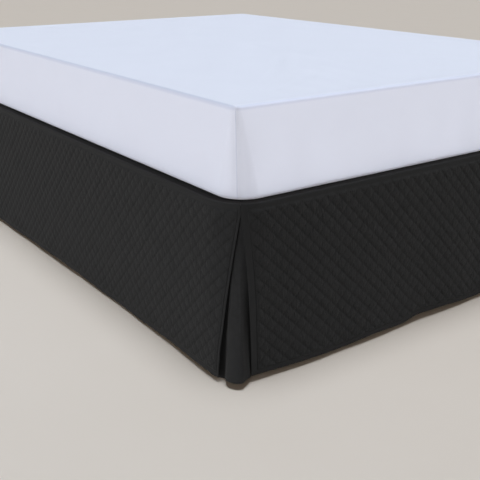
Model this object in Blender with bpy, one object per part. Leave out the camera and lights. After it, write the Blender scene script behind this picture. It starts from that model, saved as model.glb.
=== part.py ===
"""A quilted bed skirt on a plain box bed with its mattress, in metres, +Z up.

The foot of the bed faces -Y and its head faces +Y. Three quilted panels hang from a plain deck cloth that
lies between the base and the mattress. At each foot corner two panels meet in a short seam, part below it,
and leave a pleat open in front of a plain insert. The origin is on the floor, under the middle of the bed.
"""
from collections import namedtuple
from math import cos, pi, radians, sin

import bmesh
import bpy
import numpy as np

# Box base and its feet
BASE_WIDTH = 1.380
BASE_LENGTH = 1.880
BASE_HEIGHT = 0.280
BASE_EDGE = 0.008           # radius of the base's top edge
FOOT_HEIGHT = 0.130
FOOT_RADIUS = 0.030
FOOT_SIDES = 8
FOOT_ROWS = (-0.80, 0.0, 0.80)
FOOT_COLUMN = 0.58          # feet stand this far each side of the middle

# Mattress
MATTRESS_HEIGHT = 0.204
MATTRESS_INSET = 0.015      # inside the base's sides
MATTRESS_SHIFT = 0.003      # the mattress lies this far towards the foot
MATTRESS_CORNERS = (0.070, 0.016)   # corner radius at the bottom and at the top
MATTRESS_LOWER_EDGE = 0.010
MATTRESS_UPPER_EDGE = 0.006

# Cloth
GAP = 0.0003                # between pieces that touch
QUILTED = 0.002             # thickness along the stitching
PLAIN = 0.0015
SKIRT_OUT = 0.008           # from the base's side to a panel's outer face
CORNER = 0.090              # radius of the skirt's top edge, seen from above
ROLL = 0.0035               # outer radius where a panel turns over the base's edge
LIP = 0.018                 # from a panel's outer face to its seam with the deck
HEM_HEIGHT = 0.012          # above the floor
HEM_DEPTH = 0.012
SEAM_DEPTH = 0.028          # the corner seam is closed this far down
SEAM_SHIFT = 0.0125         # the corner seam is this far round from the corner's middle, towards the foot
EASE = 0.300                # length in which a panel takes up its set-back end
PILLOW_WIDTH = 0.034        # one quilted diamond
PILLOW_HEIGHT = 0.034
PILLOW_RISE = 0.002
STEP_IN_HEM = (0.48, 0.60)  # stretch of the foot panel with its sharpest fold
DECK_ROOM = 0.001           # between the deck cloth's edge and the panels' lips
INSERT_BEND = 1.8           # the insert's fold opens late on its way down
INSERT_DROP = 0.002         # from the turned edge down to an insert's top
INSERT_INSET = 0.0032       # from a panel's outer face to the insert's, at the top

# Folds of a hem: distance from the sharp corner, how far it hangs outside the top edge, and its lift
Fold = namedtuple("Fold", "along outward lift")
LEFT_FOLDS = (
    Fold(0.020, 0.0150, 0.0000),
    Fold(0.056, 0.0165, 0.0000),
    Fold(0.114, 0.0150, -0.0010),
    Fold(0.201, 0.0115, -0.0010),
    Fold(0.300, 0.0090, -0.0025),
    Fold(0.409, 0.0055, -0.0055),
    Fold(0.520, 0.0052, -0.0060),
    Fold(0.643, 0.0042, -0.0060),
    Fold(0.768, 0.0067, -0.0030),
    Fold(0.904, 0.0087, 0.0000),
    Fold(1.137, 0.0114, -0.0015),
    Fold(1.314, 0.0132, -0.0025),
    Fold(1.440, 0.0170, 0.0000),
    Fold(1.590, 0.0110, 0.0010),
    Fold(1.720, 0.0070, 0.0000),
    Fold(1.900, 0.0060, 0.0000),
)
RIGHT_FOLDS = (
    Fold(0.020, 0.012, 0.000),
    Fold(0.060, 0.016, 0.000),
    Fold(0.150, 0.012, 0.001),
    Fold(0.320, 0.016, 0.000),
    Fold(0.520, 0.009, 0.001),
    Fold(0.750, 0.014, 0.000),
    Fold(0.980, 0.018, 0.000),
    Fold(1.200, 0.010, 0.001),
    Fold(1.420, 0.008, 0.000),
    Fold(1.650, 0.013, 0.000),
    Fold(1.900, 0.006, 0.000),
)
FOOT_FOLDS = (
    Fold(0.030, 0.0122, 0.0050),
    Fold(0.056, 0.0122, 0.0042),
    Fold(0.090, 0.0132, 0.0028),
    Fold(0.123, 0.0146, 0.0018),
    Fold(0.180, 0.0175, 0.0009),
    Fold(0.239, 0.0194, 0.0000),
    Fold(0.304, 0.0175, -0.0025),
    Fold(0.369, 0.0176, 0.0005),
    Fold(0.438, 0.0158, 0.0025),
    Fold(0.496, 0.0118, -0.0015),
    Fold(0.536, 0.0092, -0.0008),
    Fold(0.560, 0.0078, 0.0035),
    Fold(0.582, 0.0068, 0.0060),
    Fold(0.629, 0.0070, 0.0048),
    Fold(0.668, 0.0082, 0.0044),
    Fold(0.740, 0.0072, 0.0012),
    Fold(0.800, 0.0030, -0.0020),
    Fold(0.870, 0.0040, 0.0000),
    Fold(0.950, 0.0080, 0.0010),
    Fold(1.070, 0.0230, 0.0000),
    Fold(1.190, 0.0120, 0.0010),
    Fold(1.300, 0.0130, 0.0000),
    Fold(1.366, 0.0125, 0.0000),
)

# Hem of a pleat insert: its place along the corner at the top, from the sharp corner at the hem, and its lift
Pleat = namedtuple("Pleat", "along_top from_side from_foot lift")
PLEAT_HEM = (
    Pleat(-0.150, -0.0080, 0.1800, 0.0),
    Pleat(-0.120, -0.0085, 0.1500, 0.0),
    Pleat(-0.092, -0.0100, 0.1200, 0.0),
    Pleat(-0.070, -0.0115, 0.0940, -0.0020),
    Pleat(-0.053, -0.0120, 0.0740, -0.0050),
    Pleat(-0.041, -0.0105, 0.0600, -0.0080),
    Pleat(-0.033, -0.0060, 0.0500, -0.0090),
    Pleat(-0.027, -0.0005, 0.0420, -0.0090),
    Pleat(-0.022, 0.0025, 0.0345, -0.0090),
    Pleat(-0.017, 0.0005, 0.0265, -0.0070),
    Pleat(-0.013, -0.0045, 0.0200, -0.0030),
    Pleat(-0.010, -0.0090, 0.0130, 0.0010),
    Pleat(-0.007, -0.0110, 0.0040, 0.0030),
    Pleat(-0.004, -0.0095, -0.0060, 0.0040),
    Pleat(0.000, -0.0050, -0.0150, 0.0045),
    Pleat(0.005, 0.0025, -0.0230, 0.0045),
    Pleat(0.011, 0.0112, -0.0255, 0.0045),
    Pleat(0.017, 0.0215, -0.0213, 0.0045),
    Pleat(0.023, 0.0300, -0.0168, 0.0045),
    Pleat(0.030, 0.0370, -0.0135, 0.0030),
    Pleat(0.038, 0.0440, -0.0080, 0.0000),
    Pleat(0.048, 0.0560, 0.0010, -0.0020),
    Pleat(0.062, 0.0770, 0.0060, -0.0010),
    Pleat(0.080, 0.1000, 0.0030, 0.0),
    Pleat(0.108, 0.1300, -0.0030, 0.0),
    Pleat(0.150, 0.1750, -0.0070, 0.0),
)

# Where a panel ends at a corner: arc of the top edge that it covers, where its hem stops from the sharp
# corner, and how early its end opens on the way down
PanelEnd = namedtuple("PanelEnd", "arc hem_end bend")
HALF_ARC = CORNER * pi / 4
SIDE_END = PanelEnd(HALF_ARC + SEAM_SHIFT, 0.033, 1.45)
FOOT_END = PanelEnd(HALF_ARC - SEAM_SHIFT, 0.0445, 3.0)

# Worked out from the sizes above
BASE_TOP = FOOT_HEIGHT + BASE_HEIGHT
DECK_BOTTOM = BASE_TOP + GAP
SKIRT_TOP = DECK_BOTTOM + QUILTED
MATTRESS_BOTTOM = DECK_BOTTOM + PLAIN + GAP
HALF_WIDTH = BASE_WIDTH / 2 + SKIRT_OUT     # to the sharp corner of the skirt's top edge
HALF_LENGTH = BASE_LENGTH / 2 + SKIRT_OUT
BASE_CORNER = CORNER - SKIRT_OUT
QUILT_TOP = SKIRT_TOP - 0.015
QUILT_BOTTOM = HEM_HEIGHT + HEM_DEPTH
FOOT_REACH = SKIRT_OUT + PILLOW_RISE + max(fold.outward for fold in FOOT_FOLDS)
BED_SHIFT = FOOT_REACH / 2                  # centres the bed and its skirt on the origin
TURN = SKIRT_TOP - ROLL                     # where a panel starts to hang
SEAM_END = SKIRT_TOP - SEAM_DEPTH
UP = np.array((0.0, 0.0, 1.0))

# How finely the plain faces are divided. The first two are shares of the way from the seam's end to the hem
PANEL_BACK_ROWS = (0.0, 0.05, 0.15, 0.40, 1.0)
INSERT_ROWS = (0.0, 0.10, 0.28, 0.50, 0.74, 1.0)
TURN_TILTS = (radians(90), radians(50), 0.0)
PLAIN_SPACING = 4           # plain columns in half diamonds, on straight stretches
INSERT_COLUMNS = 29
RUN_STEP = 0.0005           # length over which the direction of a cloth's run is measured
CORNER_STEPS = 6
BASE_STEPS = 2
MATTRESS_STEPS = 3


def smooth_step(x):
    """0 to 1 with level ends: 3x^2 - 2x^3."""
    x = np.clip(x, 0, 1)
    return x * x * (3 - 2 * x)


def smooth_through(places, values, x):
    """A smooth curve through the given values (cubic Hermite, slopes from the neighbours)."""
    places, values = np.array(places), np.array(values)
    slopes = np.gradient(values, places)
    i = np.clip(np.searchsorted(places, x) - 1, 0, len(places) - 2)
    step = places[i + 1] - places[i]
    t = np.clip((x - places[i]) / step, 0, 1)
    ease = t * t * (3 - 2 * t)
    start = t * (1 - t) ** 2 * step * slopes[i]
    end = t * t * (t - 1) * step * slopes[i + 1]
    return values[i] * (1 - ease) + values[i + 1] * ease + start + end


def hanging_heights(shares):
    """Heights at shares of the way from the corner seam's end down to the hem."""
    return SEAM_END - np.array(shares) * (SEAM_END - HEM_HEIGHT)


def hang(height):
    """How far a height is from the corner seam's end (0) to the hem (1)."""
    return np.clip((SEAM_END - height) / (SEAM_END - HEM_HEIGHT), 0, 1)


def top_edge(along, arc):
    """Points of the skirt's top edge: (inward, from the sharp corner).

    along counts from a point on the corner's arc, and the straight side starts after an arc of that length.
    """
    angle = (arc - np.minimum(along, arc)) / CORNER
    straight = np.maximum(along - arc, 0)
    return CORNER * (1 - np.cos(angle)), CORNER * (1 - np.sin(angle)) + straight


def hang_from_corner(along, height, folds, panel_end):
    """A hanging panel by distance from its corner seam: (inward, from the sharp corner, lift)."""
    inward, across = top_edge(along, panel_end.arc)
    at_seam = CORNER - panel_end.arc
    set_back = panel_end.hem_end - at_seam
    hem_across = along + at_seam + set_back * (1 - smooth_step(along / EASE))
    places = [fold.along for fold in folds]
    outward = smooth_through(places, [fold.outward for fold in folds], hem_across)
    lift = smooth_through(places, [fold.lift for fold in folds], hem_across)
    flare = hang(height)
    w = 1 - (1 - flare) ** panel_end.bend
    return inward * (1 - w) - outward * flare, across * (1 - w) + hem_across * w, lift * flare


def side_plan(folds, side):
    """Plan of a side panel, by distance from its corner seam. side is -1 on the left and 1 on the right."""
    def plan(along, height):
        inward, across, lift = hang_from_corner(along, height, folds, SIDE_END)
        return side * (HALF_WIDTH - inward), across - HALF_LENGTH, height + lift
    return plan


def foot_plan(along, height):
    """Plan of the foot panel, by distance from its left seam."""
    length = foot_length()
    left = hang_from_corner(along, height, FOOT_FOLDS, FOOT_END)
    mirrored = tuple(Fold(2 * HALF_WIDTH - f.along, f.outward, f.lift) for f in FOOT_FOLDS[::-1])
    right = hang_from_corner(length - along, height, mirrored, FOOT_END)
    near_left = along < length / 2
    inward = np.where(near_left, left[0], right[0])
    x = np.where(near_left, left[1] - HALF_WIDTH, HALF_WIDTH - right[1])
    return x, inward - HALF_LENGTH, height + np.where(near_left, left[2], right[2])


def side_length():
    """Cut width of a side panel at its top edge."""
    return SIDE_END.arc + BASE_LENGTH + SKIRT_OUT - CORNER


def foot_length():
    """Cut width of the foot panel at its top edge."""
    return 2 * (FOOT_END.arc + HALF_WIDTH - CORNER)


def sheet_row(plan, along, outward, height, tilt=0.0, inset=0.0):
    """Points of one row of a hanging sheet, and the cloth's normals there.

    outward is 1 or -1, the side of the plan's run that faces away from the bed. tilt turns the normals from
    level (0) to straight up (90 degrees). inset moves the row towards the bed.
    """
    x, y, z = plan(along, height)
    ahead = plan(along + RUN_STEP, height)
    behind = plan(along - RUN_STEP, height)
    run = np.stack((ahead[0] - behind[0], ahead[1] - behind[1]), 1)
    run /= np.linalg.norm(run, axis=1)[:, None]
    level = outward * np.stack((run[:, 1], -run[:, 0], 0 * x), 1)
    return np.stack((x, y, z), 1) - inset * level, level * cos(tilt) + UP * sin(tilt)


def quilt_columns(length):
    """Places of the quilting's columns, half a diamond apart, with a plain strip left at both ends."""
    count = 2 * int((length - PILLOW_WIDTH / 2) / PILLOW_WIDTH)
    margin = (length - count * PILLOW_WIDTH / 2) / 2
    return margin + np.arange(count + 1) * PILLOW_WIDTH / 2


def plain_columns(length, curved):
    """Places of the plain faces' columns: widely spaced, and every half diamond where curved."""
    fine = quilt_columns(length)
    keep = np.arange(len(fine)) % PLAIN_SPACING == 0
    for start, end in curved:
        keep |= (start < fine) & (fine < end)
    return with_ends(fine[keep], length)


def with_ends(columns, length):
    """Columns with the sheet's two ends added."""
    return np.concatenate(((GAP / 2,), columns, (length - GAP / 2,)))


def plain_strip(first, second, first_places, second_places):
    """Triangles between two rows of vertices, walking along both by their places."""
    faces = []
    i = j = 0
    while i < len(first) - 1 or j < len(second) - 1:
        next_i = first_places[i + 1] if i < len(first) - 1 else np.inf
        next_j = second_places[j + 1] if j < len(second) - 1 else np.inf
        if next_i <= next_j:
            faces.append((first[i], first[i + 1], second[j]))
            i += 1
        else:
            faces.append((first[i], second[j + 1], second[j]))
            j += 1
    return faces


def quilted_strip(first, second, row):
    """Triangles between two quilted rows, each cell split along its line of stitching."""
    faces = []
    for column in range(len(first) - 1):
        a, b = first[column:column + 2]
        d, c = second[column:column + 2]
        if is_crown(row, column):
            faces += [(a, b, d), (b, c, d)]
        else:
            faces += [(a, b, c), (a, c, d)]
    return faces


def is_crown(row, column):
    """Whether a vertex is in the middle of a diamond. Column 0 is the sheet's end."""
    return (row + column) % 2 == 1


class Sheet:
    """A closed sheet, built row by row down its outer face and back up its inner face."""

    def __init__(self):
        self.points = []
        self.rows = []
        self.columns = []
        self.depths = []
        self.quilt_rows = []

    def add_row(self, points, columns, depth, quilt_row=None):
        """depth is the row's distance down the cloth."""
        first = len(self.points)
        self.points += [tuple(point) for point in points]
        self.rows.append(range(first, first + len(points)))
        self.columns.append(columns)
        self.depths.append(depth)
        self.quilt_rows.append(quilt_row)

    def faces(self, outer_count):
        """Triangles of both faces, the hem, the top and the two ends."""
        faces = []
        for k in range(len(self.rows)):
            n = (k + 1) % len(self.rows)
            if self.quilt_rows[k] is not None and self.quilt_rows[n] is not None:
                faces += quilted_strip(self.rows[k], self.rows[n], self.quilt_rows[k])
            else:
                faces += plain_strip(self.rows[k], self.rows[n], self.columns[k], self.columns[n])
        outer = slice(0, outer_count)
        inner = slice(None, outer_count - 1, -1)
        for end in (0, -1):
            down = [row[end] for row in self.rows[outer]]
            up = [row[end] for row in self.rows[inner]]
            faces += plain_strip(down, up, self.depths[outer], self.depths[inner])
        return faces


def turned_edge():
    """Rows over the base's top edge, from the lip's end to the hanging face: height, tilt, inset, depth."""
    rows = [(SKIRT_TOP, pi / 2, LIP, 0.0)]
    for tilt in TURN_TILTS:
        height = TURN + ROLL * sin(tilt)
        depth = LIP - ROLL + ROLL * (pi / 2 - tilt)
        rows.append((height, tilt, ROLL * (1 - cos(tilt)), depth))
    return rows


def panel_depth(height):
    """Distance down a panel's cloth, from the lip's end to a height on its hanging face."""
    return LIP - ROLL + ROLL * pi / 2 + TURN - height


def quilted_panel(name, plan, length, outward, curved):
    """A hanging panel: a lip on the base, a turned edge, raised diamonds and a plain hem band."""
    sheet = Sheet()
    plain = plain_columns(length, curved)
    for height, tilt, inset, depth in turned_edge():
        points, _ = sheet_row(plan, plain, outward, height, tilt, inset)
        sheet.add_row(points, plain, depth)

    quilted = with_ends(quilt_columns(length), length)
    column = np.arange(len(quilted))
    inside = (column > 1) & (column < len(quilted) - 2)
    last = round((QUILT_TOP - QUILT_BOTTOM) / (PILLOW_HEIGHT / 2))
    for row, height in enumerate(np.linspace(QUILT_TOP, QUILT_BOTTOM, last + 1)):
        points, normals = sheet_row(plan, quilted, outward, height)
        crowns = inside & is_crown(row, column) & (0 < row < last)
        points += PILLOW_RISE * crowns[:, None] * normals
        sheet.add_row(points, quilted, panel_depth(height), row)
    points, _ = sheet_row(plan, plain, outward, HEM_HEIGHT)
    sheet.add_row(points, plain, panel_depth(HEM_HEIGHT))
    outer_count = len(sheet.rows)

    for height in hanging_heights(PANEL_BACK_ROWS)[::-1]:
        points, normals = sheet_row(plan, plain, outward, height)
        sheet.add_row(points - QUILTED * normals, plain, panel_depth(height))
    for height, tilt, inset, depth in reversed(turned_edge()):
        points, normals = sheet_row(plan, plain, outward, height, tilt, inset)
        sheet.add_row(points - QUILTED * normals, plain, depth)
    return solid(name, sheet.points, sheet.faces(outer_count))


def insert_plan(side):
    """Plan of a pleat insert, by place along its top from end to end. side is -1 at the left corner."""
    steps = np.arange(len(PLEAT_HEM))
    tops = np.array([row.along_top for row in PLEAT_HEM])

    def plan(along, height):
        at = np.interp(along, tops, steps)
        hem_x = smooth_through(steps, [row.from_side for row in PLEAT_HEM], at)
        hem_y = smooth_through(steps, [row.from_foot for row in PLEAT_HEM], at)
        lift = smooth_through(steps, [row.lift for row in PLEAT_HEM], at)
        inward, across = top_edge(np.abs(along), HALF_ARC)
        top_x = np.where(along < 0, inward, across)
        top_y = np.where(along < 0, across, inward)
        w = hang(height) ** INSERT_BEND
        x = top_x * (1 - w) + hem_x * w
        y = top_y * (1 - w) + hem_y * w
        return side * (HALF_WIDTH - x), y - HALF_LENGTH, height + lift * w
    return plan


def pleat_insert(name, side):
    """The plain cloth behind a corner's open pleat, sewn in at the top and hanging in a rounded fold."""
    sheet = Sheet()
    plan = insert_plan(side)
    tops = [row.along_top for row in PLEAT_HEM]
    along = np.interp(np.linspace(0, 1, INSERT_COLUMNS), np.linspace(0, 1, len(tops)), tops)
    heights = np.append(TURN - INSERT_DROP, hanging_heights(INSERT_ROWS))
    for height in heights:
        room = INSERT_INSET * (1 - hang(height) ** INSERT_BEND)
        points, _ = sheet_row(plan, along, -side, height, inset=room)
        sheet.add_row(points, along, -height)
    for height in heights[::-1]:
        room = INSERT_INSET * (1 - hang(height) ** INSERT_BEND)
        points, _ = sheet_row(plan, along, -side, height, inset=room + PLAIN)
        sheet.add_row(points, along, -height)
    return solid(name, sheet.points, sheet.faces(len(heights)))


def rounded_outline(half_x, y_foot, y_head, foot_radius, head_radius):
    """Points of a rectangle with rounded corners, anticlockwise from the left foot corner."""
    corners = (
        (-half_x + foot_radius, y_foot + foot_radius, foot_radius, pi),
        (half_x - foot_radius, y_foot + foot_radius, foot_radius, 1.5 * pi),
        (half_x - head_radius, y_head - head_radius, head_radius, 0),
        (-half_x + head_radius, y_head - head_radius, head_radius, 0.5 * pi),
    )
    points = []
    for x, y, radius, start in corners:
        steps = CORNER_STEPS if radius else 0
        for k in range(steps + 1):
            angle = start + k * pi / 2 / max(steps, 1)
            points.append((x + radius * cos(angle), y + radius * sin(angle)))
    return points


def rounded_box(name, half_x, half_y, corners, bottom, top, lower_edge, upper_edge, edge_steps):
    """A box with rounded corners and rounded lower and upper edges, as a stack of outlines.

    corners has the corner radius at the bottom and at the top, with a steady change between them.
    """
    rings = []
    for k in range(edge_steps + 1):
        angle = pi / 2 * k / edge_steps
        rings.append((bottom + lower_edge * (1 - cos(angle)), lower_edge * (1 - sin(angle))))
    for k in range(edge_steps + 1):
        angle = pi / 2 * k / edge_steps
        rings.append((top - upper_edge * (1 - sin(angle)), upper_edge * (1 - cos(angle))))
    points = []
    for z, inset in rings:
        corner = np.interp(z, (bottom, top), corners) - inset
        outline = rounded_outline(half_x - inset, inset - half_y, half_y - inset, corner, corner)
        points += [(x, y, z) for x, y in outline]
    count = len(outline)
    faces = [tuple(range(count)), tuple(range(len(points) - count, len(points)))]
    for ring in range(len(rings) - 1):
        for k in range(count):
            a, b = ring * count + k, ring * count + (k + 1) % count
            faces.append((a, b, b + count, a + count))
    return solid(name, points, faces)


def box_base():
    """The upholstered base box."""
    return rounded_box(
        "bed_base", BASE_WIDTH / 2, BASE_LENGTH / 2, (BASE_CORNER, BASE_CORNER),
        FOOT_HEIGHT, BASE_TOP, BASE_EDGE / 2, BASE_EDGE, BASE_STEPS,
    )


def mattress():
    """The mattress, a little smaller than the base all round, and pushed towards the foot."""
    piece = rounded_box(
        "mattress", BASE_WIDTH / 2 - MATTRESS_INSET, BASE_LENGTH / 2 - MATTRESS_INSET, MATTRESS_CORNERS,
        MATTRESS_BOTTOM, MATTRESS_BOTTOM + MATTRESS_HEIGHT, MATTRESS_LOWER_EDGE, MATTRESS_UPPER_EDGE,
        MATTRESS_STEPS,
    )
    piece.location.y = -MATTRESS_SHIFT
    return piece


def deck():
    """The skirt's flat deck cloth between the base and the mattress, square at its head end."""
    inset = LIP + DECK_ROOM
    outline = rounded_outline(HALF_WIDTH - inset, inset - HALF_LENGTH, BASE_LENGTH / 2, CORNER - inset, 0)
    count = len(outline)
    points = [(x, y, z) for z in (DECK_BOTTOM, DECK_BOTTOM + PLAIN) for x, y in outline]
    faces = [tuple(range(count)), tuple(range(count, 2 * count))]
    for k in range(count):
        n = (k + 1) % count
        faces.append((k, n, n + count, k + count))
    return solid("deck_cloth", points, faces)


def bed_foot(name, x, y):
    """One plain foot, from the floor to the base."""
    work = bmesh.new()
    bmesh.ops.create_cone(
        work, cap_ends=True, segments=FOOT_SIDES, radius1=FOOT_RADIUS, radius2=FOOT_RADIUS,
        depth=FOOT_HEIGHT - GAP,
    )
    mesh = bpy.data.meshes.new(name)
    work.to_mesh(mesh)
    work.free()
    piece = bpy.data.objects.new(name, mesh)
    piece.location = (x, y, (FOOT_HEIGHT - GAP) / 2)
    bpy.context.collection.objects.link(piece)
    return piece


def solid(name, points, faces):
    """A new object from points and faces, with its faces pointing out."""
    mesh = bpy.data.meshes.new(name)
    mesh.from_pydata(points, [], faces)
    work = bmesh.new()
    work.from_mesh(mesh)
    bmesh.ops.recalc_face_normals(work, faces=work.faces)
    work.to_mesh(mesh)
    work.free()
    piece = bpy.data.objects.new(name, mesh)
    bpy.context.collection.objects.link(piece)
    return piece


def material(name, colour, roughness):
    """A plain material, without metal."""
    made = bpy.data.materials.new(name)
    made.use_nodes = True
    shader = made.node_tree.nodes["Principled BSDF"]
    shader.inputs["Base Color"].default_value = (*colour, 1)
    shader.inputs["Roughness"].default_value = roughness
    shader.inputs["Metallic"].default_value = 0
    return made


def clear_scene():
    for item in list(bpy.data.objects):
        bpy.data.objects.remove(item)


def build():
    """Makes every piece, on one empty in the middle of the bed."""
    clear_scene()
    white = material("mattress_cover", (0.75, 0.78, 0.84), 0.8)
    black = material("quilted_black_cloth", (0.028, 0.028, 0.028), 0.85)
    plain = material("plain_black_cloth", (0.022, 0.022, 0.022), 0.9)
    cover = material("base_cover", (0.10, 0.09, 0.08), 0.85)
    plastic = material("foot_plastic", (0.03, 0.03, 0.03), 0.5)

    bed = bpy.data.objects.new("bed", None)
    bed.location = (0, BED_SHIFT, 0)
    bpy.context.collection.objects.link(bed)

    foot_arcs = ((0, FOOT_END.arc), (foot_length() - FOOT_END.arc, foot_length()))
    side_arc = ((0, SIDE_END.arc),)
    pieces = [
        (mattress(), white),
        (box_base(), cover),
        (deck(), plain),
        (quilted_panel("skirt_left", side_plan(LEFT_FOLDS, -1), side_length(), -1, side_arc), black),
        (quilted_panel("skirt_right", side_plan(RIGHT_FOLDS, 1), side_length(), 1, side_arc), black),
        (quilted_panel("skirt_foot", foot_plan, foot_length(), 1, foot_arcs + (STEP_IN_HEM,)), black),
        (pleat_insert("insert_left", -1), plain),
        (pleat_insert("insert_right", 1), plain),
    ]
    for column, x in enumerate((-FOOT_COLUMN, FOOT_COLUMN)):
        for row, y in enumerate(FOOT_ROWS):
            number = 1 + column * len(FOOT_ROWS) + row
            pieces.append((bed_foot(f"bed_foot_{number}", x, y), plastic))
    for piece, finish in pieces:
        piece.parent = bed
        piece.data.materials.append(finish)


build()
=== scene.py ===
# %% [markdown]
# # A quilted bed skirt, hung round a box bed
#
# A bed skirt hides a bed's base and the space under it. This one has three quilted panels, one for each side
# and one for the foot. They hang from a flat deck cloth that is held between the base and the mattress. At
# each foot corner two panels meet in a short seam. Below it a pleat opens in front of a plain insert.
#
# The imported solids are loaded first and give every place. Each soft piece is then made again over its solid,
# finer, from the same tables of folds, so that it hangs where the solid hangs.

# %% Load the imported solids
from collections import namedtuple
from math import cos, pi, radians, sin

import bpy
import numpy as np
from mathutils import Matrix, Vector


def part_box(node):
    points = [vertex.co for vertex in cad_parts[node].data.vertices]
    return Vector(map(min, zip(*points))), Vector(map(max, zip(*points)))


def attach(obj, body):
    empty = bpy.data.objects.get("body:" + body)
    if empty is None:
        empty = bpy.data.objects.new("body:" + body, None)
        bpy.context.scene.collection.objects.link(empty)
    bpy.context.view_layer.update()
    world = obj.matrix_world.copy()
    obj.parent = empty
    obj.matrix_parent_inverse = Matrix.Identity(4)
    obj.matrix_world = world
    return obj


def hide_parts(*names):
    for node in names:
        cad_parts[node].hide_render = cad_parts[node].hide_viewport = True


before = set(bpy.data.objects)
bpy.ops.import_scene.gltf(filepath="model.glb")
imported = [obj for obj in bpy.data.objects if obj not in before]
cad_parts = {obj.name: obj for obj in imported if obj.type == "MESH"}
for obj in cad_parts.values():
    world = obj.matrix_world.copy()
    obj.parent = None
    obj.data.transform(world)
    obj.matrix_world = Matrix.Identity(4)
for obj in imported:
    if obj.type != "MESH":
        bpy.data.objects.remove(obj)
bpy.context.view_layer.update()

# %% [markdown]
# ## The camera
#
# A camera could be moved by eye until the picture looks right. Here its place was worked out from the lines
# of the bed instead: it stands outside the left foot corner, a little under a metre up, and looks down by 20
# degrees with a slightly long lens. It comes first, because every later choice is judged through it.

# %% Camera
SENSOR = 36.0               # millimetres
LENS = 60.397
CAMERA_PLACE = (-1.5907, -2.2104, 0.9182)
LOOKS_DOWN = radians(20.163)
TURNED_RIGHT = radians(35.559)

camera = bpy.data.objects.new("camera", bpy.data.cameras.new("camera"))
camera.data.sensor_width = SENSOR
camera.data.lens = LENS
camera.location = CAMERA_PLACE
camera.rotation_euler = (pi / 2 - LOOKS_DOWN, 0, -TURNED_RIGHT)
bpy.context.collection.objects.link(camera)
bpy.context.scene.camera = camera
print("the camera stands at", CAMERA_PLACE)

# %% [markdown]
# ## Sizes and folds
#
# The skirt's sizes are repeated from the solids' source, in metres, because a cloth that is made finer has to
# follow the same edges. A fold is given at the hem only: how far from the sharp corner it is, how far it
# hangs outside the top edge, and how much it is lifted. At the top, where it is sewn, the cloth has no fold.

# %% Sizes
BASE_WIDTH, BASE_LENGTH, BASE_HEIGHT = 1.380, 1.880, 0.280
FOOT_HEIGHT = 0.130
GAP = 0.0003                # between pieces that touch
QUILTED, PLAIN = 0.002, 0.0015      # thickness of the two cloths
SKIRT_OUT = 0.008           # from the base's side to a panel's outer face
CORNER = 0.090              # radius of the skirt's top edge, seen from above
ROLL = 0.0035               # outer radius where a panel turns over the base's edge
LIP = 0.018                 # from a panel's outer face to its seam with the deck cloth
HEM_HEIGHT, HEM_DEPTH = 0.012, 0.012
SEAM_DEPTH, SEAM_SHIFT = 0.028, 0.0125
EASE = 0.300                # length in which a panel takes up its set-back end
PILLOW_RISE = 0.0028
BED_SHIFT = 0.0165          # centres the bed and its skirt on the origin

BASE_TOP = FOOT_HEIGHT + BASE_HEIGHT
DECK_BOTTOM = BASE_TOP + GAP
SKIRT_TOP = DECK_BOTTOM + QUILTED
MATTRESS_BOTTOM = DECK_BOTTOM + PLAIN + GAP
HALF_WIDTH = BASE_WIDTH / 2 + SKIRT_OUT
HALF_LENGTH = BASE_LENGTH / 2 + SKIRT_OUT
TURN = SKIRT_TOP - ROLL     # where a panel starts to hang
SEAM_END = SKIRT_TOP - SEAM_DEPTH
QUILT_TOP = SKIRT_TOP - 0.015
QUILT_BOTTOM = HEM_HEIGHT + HEM_DEPTH
QUILT_ROWS = 11             # diamonds from the hem band up to the top band
PILLOW_HEIGHT = (QUILT_TOP - QUILT_BOTTOM) / QUILT_ROWS
print(f"each diamond is {1000 * PILLOW_HEIGHT:.1f} mm high")

# %% Folds of the hem
Fold = namedtuple("Fold", "along outward lift")
LEFT_FOLDS = (
    Fold(0.020, 0.0150, 0.0000),
    Fold(0.056, 0.0165, 0.0000),
    Fold(0.114, 0.0150, -0.0010),
    Fold(0.201, 0.0115, -0.0010),
    Fold(0.300, 0.0090, -0.0025),
    Fold(0.409, 0.0055, -0.0055),
    Fold(0.520, 0.0052, -0.0060),
    Fold(0.643, 0.0042, -0.0060),
    Fold(0.768, 0.0067, -0.0030),
    Fold(0.904, 0.0087, 0.0000),
    Fold(1.137, 0.0114, -0.0015),
    Fold(1.314, 0.0132, -0.0025),
    Fold(1.440, 0.0170, 0.0000),
    Fold(1.590, 0.0110, 0.0010),
    Fold(1.720, 0.0070, 0.0000),
    Fold(1.900, 0.0060, 0.0000),
)
RIGHT_FOLDS = (
    Fold(0.020, 0.012, 0.000),
    Fold(0.060, 0.016, 0.000),
    Fold(0.150, 0.012, 0.001),
    Fold(0.320, 0.016, 0.000),
    Fold(0.520, 0.009, 0.001),
    Fold(0.750, 0.014, 0.000),
    Fold(0.980, 0.018, 0.000),
    Fold(1.200, 0.010, 0.001),
    Fold(1.420, 0.008, 0.000),
    Fold(1.650, 0.013, 0.000),
    Fold(1.900, 0.006, 0.000),
)
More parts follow.
